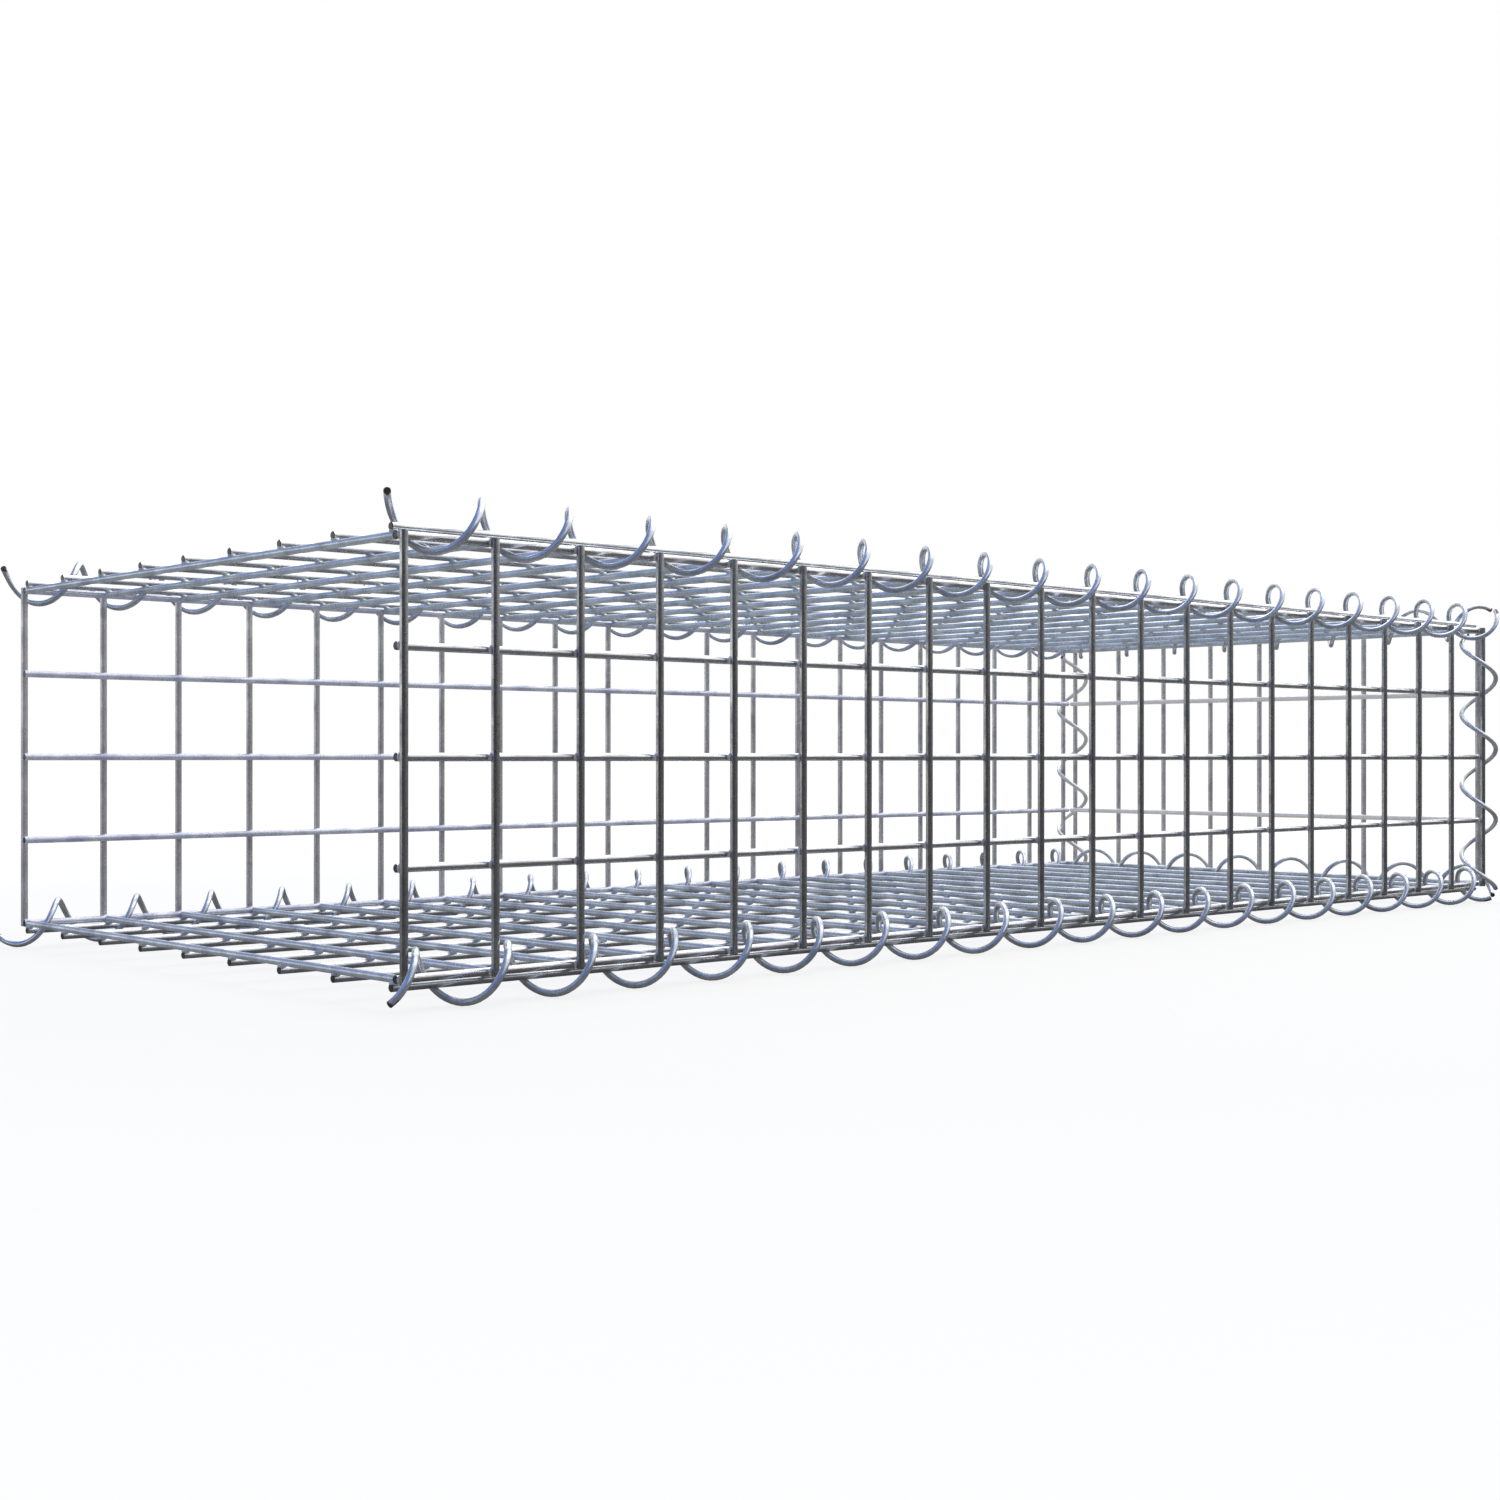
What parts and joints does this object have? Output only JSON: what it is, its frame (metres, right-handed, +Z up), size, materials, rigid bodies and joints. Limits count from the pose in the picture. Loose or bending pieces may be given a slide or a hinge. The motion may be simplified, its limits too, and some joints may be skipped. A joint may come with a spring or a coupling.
{
  "type": "gabion basket",
  "caption": "Oblong cage of welded galvanised wire mesh, open at one end, its edges laced with wire spirals, to be filled with stones.",
  "frame": {"origin": "on the ground, under the middle of the whole basket", "axes": "+X along the basket, from the open end to the closed end; +Y from the front panel to the back panel; +Z up"},
  "size_m": [1.0384, 0.4466, 0.2369],
  "materials": {
    "mesh_wire": "hot-dip galvanised, dull grey with a faint blue cast and slight mottling",
    "lacing_wire": "galvanised, brighter and bluer than the mesh"
  },
  "bodies": {
    "root": {"front_panel_uprights": "mesh_wire", "front_panel_line_wires": "mesh_wire", "back_panel_uprights": "mesh_wire", "back_panel_line_wires": "mesh_wire", "top_panel_line_wires": "mesh_wire", "top_panel_cross_wires": "mesh_wire", "bottom_panel_line_wires": "mesh_wire", "bottom_panel_cross_wires": "mesh_wire", "end_panel_uprights": "mesh_wire", "end_panel_line_wires": "mesh_wire", "top_front_spiral": "lacing_wire", "top_back_spiral": "lacing_wire", "bottom_front_spiral": "lacing_wire", "bottom_back_spiral": "lacing_wire", "end_top_spiral": "lacing_wire", "end_bottom_spiral": "lacing_wire", "end_front_spiral": "lacing_wire", "end_back_spiral": "lacing_wire"}
  },
  "joints": []
}
